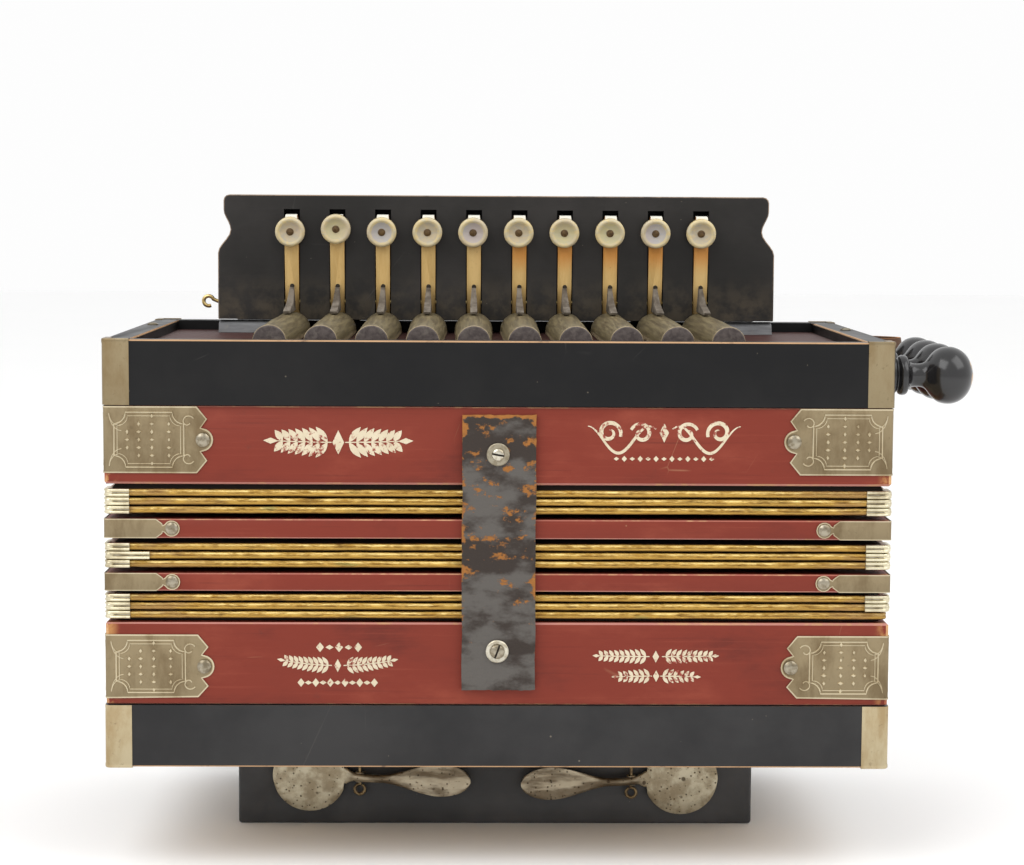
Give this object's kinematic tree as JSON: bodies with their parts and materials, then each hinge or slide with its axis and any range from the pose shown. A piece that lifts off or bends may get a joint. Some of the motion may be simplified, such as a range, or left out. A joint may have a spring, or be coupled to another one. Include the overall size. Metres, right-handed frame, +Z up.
{
  "type": "one-row button accordion",
  "caption": "Closed one-row diatonic button accordion with wooden casings, pleated bellows, sprung treble keys, spoon bass keys and turned stop knobs, standing on its bass box.",
  "frame": {"origin": "On the underside of the bass box, below the middle of the body's width and depth.", "axes": "+X across the body towards the stop knobs, +Y from the bellows strap at the front to the rear, +Z up towards the fingerboard."},
  "size_m": [0.3225, 0.1896, 0.2504],
  "materials": {
    "black_lacquer": "worn black lacquer on wood",
    "red_paint": "satin brick-red paint, edges rubbed to tan",
    "gold_fold": "gold-foiled bellows cloth, tarnished",
    "board_wood": "stained satin wood",
    "plain_wood": "bare wood",
    "lever_wood": "honey-varnished wood",
    "pallet_wood": "olive-brown varnished wood",
    "pearl": "polished mother-of-pearl",
    "nickel": "tarnished nickel plate",
    "brass_wire": "dull brass",
    "black_wood": "polished ebonised wood",
    "strap_leather": "black leather worn to orange brown",
    "brown_leather": "worn brown leather"
  },
  "bodies": {
    "bass_end": {"bass_box": "black_lacquer", "bass_board": "plain_wood", "bass_reed_block": "plain_wood", "bass_casing": "black_lacquer", "bass_frame": "red_paint", "bellows_lower": "gold_fold", "spoon_axle_left": "brass_wire", "spoon_axle_right": "brass_wire", "strap_tail": "strap_leather", "hand_strap": "brown_leather"},
    "lower_fold_frame": {"mid_frame_lower": "red_paint", "bellows_middle": "gold_fold"},
    "upper_fold_frame": {"mid_frame_upper": "red_paint", "bellows_upper": "gold_fold"},
    "treble_end": {"treble_frame": "red_paint", "treble_casing": "black_lacquer", "pallet_board": "board_wood", "treble_reed_block": "plain_wood", "fingerboard": "black_lacquer", "key_axle": "brass_wire", "thumb_strap": "brown_leather"},
    "key_01": {"key_lever_01": "lever_wood", "key_button_01": "pearl", "key_pallet_01": "pallet_wood"},
    "key_02": {"key_lever_02": "lever_wood", "key_button_02": "pearl", "key_pallet_02": "pallet_wood"},
    "key_03": {"key_lever_03": "lever_wood", "key_button_03": "pearl", "key_pallet_03": "pallet_wood"},
    "key_04": {"key_lever_04": "lever_wood", "key_button_04": "pearl", "key_pallet_04": "pallet_wood"},
    "key_05": {"key_lever_05": "lever_wood", "key_button_05": "pearl", "key_pallet_05": "pallet_wood"},
    "key_06": {"key_lever_06": "lever_wood", "key_button_06": "pearl", "key_pallet_06": "pallet_wood"},
    "key_07": {"key_lever_07": "lever_wood", "key_button_07": "pearl", "key_pallet_07": "pallet_wood"},
    "key_08": {"key_lever_08": "lever_wood", "key_button_08": "pearl", "key_pallet_08": "pallet_wood"},
    "key_09": {"key_lever_09": "lever_wood", "key_button_09": "pearl", "key_pallet_09": "pallet_wood"},
    "key_10": {"key_lever_10": "lever_wood", "key_button_10": "pearl", "key_pallet_10": "pallet_wood"},
    "stop_1": {"stop_knob_1": "black_wood"},
    "stop_2": {"stop_knob_2": "black_wood"},
    "stop_3": {"stop_knob_3": "black_wood"},
    "stop_4": {"stop_knob_4": "black_wood"},
    "spoon_left": {"bass_spoon_left": "nickel"},
    "spoon_right": {"bass_spoon_right": "nickel"},
    "air_valve": {"air_button": "black_wood"},
    "strap_flap": {"bellows_strap": "strap_leather", "strap_screw": "nickel"}
  },
  "joints": [
    {"name": "bellows_open", "type": "slide", "parent": "bass_end", "child": "lower_fold_frame", "axis": [0, 0, 1], "range_m": [0, 0.065], "deforming": ["bellows_lower"]},
    {"name": "bellows_open_middle", "type": "slide", "parent": "lower_fold_frame", "child": "upper_fold_frame", "axis": [0, 0, 1], "range_m": [0, 0.065], "deforming": ["bellows_middle"]},
    {"name": "bellows_open_upper", "type": "slide", "parent": "upper_fold_frame", "child": "treble_end", "axis": [0, 0, 1], "range_m": [0, 0.065], "deforming": ["bellows_upper"]},
    {"name": "key_01_press", "type": "hinge", "parent": "treble_end", "child": "key_01", "pos_m": [-0.08482, 0.0495, 0.2062], "axis": [1, 0, 0], "range_deg": [-6, 0], "stiffness_Nm_per_rad": 0.25, "springref_deg": 6.88},
    {"name": "key_02_press", "type": "hinge", "parent": "treble_end", "child": "key_02", "pos_m": [-0.06598, 0.0495, 0.2062], "axis": [1, 0, 0], "range_deg": [-6, 0], "stiffness_Nm_per_rad": 0.25, "springref_deg": 6.88},
    {"name": "key_03_press", "type": "hinge", "parent": "treble_end", "child": "key_03", "pos_m": [-0.04713, 0.0495, 0.2062], "axis": [1, 0, 0], "range_deg": [-6, 0], "stiffness_Nm_per_rad": 0.25, "springref_deg": 6.88},
    {"name": "key_04_press", "type": "hinge", "parent": "treble_end", "child": "key_04", "pos_m": [-0.02828, 0.0495, 0.2062], "axis": [1, 0, 0], "range_deg": [-6, 0], "stiffness_Nm_per_rad": 0.25, "springref_deg": 6.88},
    {"name": "key_05_press", "type": "hinge", "parent": "treble_end", "child": "key_05", "pos_m": [-0.00942, 0.0495, 0.2062], "axis": [1, 0, 0], "range_deg": [-6, 0], "stiffness_Nm_per_rad": 0.25, "springref_deg": 6.88},
    {"name": "key_06_press", "type": "hinge", "parent": "treble_end", "child": "key_06", "pos_m": [0.00942, 0.0495, 0.2062], "axis": [1, 0, 0], "range_deg": [-6, 0], "stiffness_Nm_per_rad": 0.25, "springref_deg": 6.88},
    {"name": "key_07_press", "type": "hinge", "parent": "treble_end", "child": "key_07", "pos_m": [0.02828, 0.0495, 0.2062], "axis": [1, 0, 0], "range_deg": [-6, 0], "stiffness_Nm_per_rad": 0.25, "springref_deg": 6.88},
    {"name": "key_08_press", "type": "hinge", "parent": "treble_end", "child": "key_08", "pos_m": [0.04713, 0.0495, 0.2062], "axis": [1, 0, 0], "range_deg": [-6, 0], "stiffness_Nm_per_rad": 0.25, "springref_deg": 6.88},
    {"name": "key_09_press", "type": "hinge", "parent": "treble_end", "child": "key_09", "pos_m": [0.06598, 0.0495, 0.2062], "axis": [1, 0, 0], "range_deg": [-6, 0], "stiffness_Nm_per_rad": 0.25, "springref_deg": 6.88},
    {"name": "key_10_press", "type": "hinge", "parent": "treble_end", "child": "key_10", "pos_m": [0.08482, 0.0495, 0.2062], "axis": [1, 0, 0], "range_deg": [-6, 0], "stiffness_Nm_per_rad": 0.25, "springref_deg": 6.88},
    {"name": "stop_1_pull", "type": "slide", "parent": "treble_end", "child": "stop_1", "axis": [1, 0, 0], "range_m": [0, 0.009]},
    {"name": "stop_2_pull", "type": "slide", "parent": "treble_end", "child": "stop_2", "axis": [1, 0, 0], "range_m": [0, 0.009]},
    {"name": "stop_3_pull", "type": "slide", "parent": "treble_end", "child": "stop_3", "axis": [1, 0, 0], "range_m": [0, 0.009]},
    {"name": "stop_4_pull", "type": "slide", "parent": "treble_end", "child": "stop_4", "axis": [1, 0, 0], "range_m": [0, 0.009]},
    {"name": "spoon_left_press", "type": "hinge", "parent": "bass_end", "child": "spoon_left", "pos_m": [-0.054, -0.0141, 0.0197], "axis": [0, 0, 1], "range_deg": [0, 7], "stiffness_Nm_per_rad": 0.2, "springref_deg": -5.73},
    {"name": "spoon_right_press", "type": "hinge", "parent": "bass_end", "child": "spoon_right", "pos_m": [0.054, -0.0141, 0.0185], "axis": [0, 0, 1], "range_deg": [-7, 0], "stiffness_Nm_per_rad": 0.2, "springref_deg": 5.73},
    {"name": "air_button_press", "type": "slide", "parent": "bass_end", "child": "air_valve", "axis": [-1, 0, 0], "range_m": [0, 0.0032], "stiffness_N_per_m": 200, "springref_m": -0.004},
    {"name": "strap_fold_down", "type": "hinge", "parent": "bass_end", "child": "strap_flap", "pos_m": [0, -0.0822, 0.09], "axis": [1, 0, 0], "range_deg": [0, 110]}
  ],
  "couplings": [
    {"joint": "bellows_open_middle", "follows": "bellows_open", "ratio": 1},
    {"joint": "bellows_open_upper", "follows": "bellows_open", "ratio": 1}
  ]
}
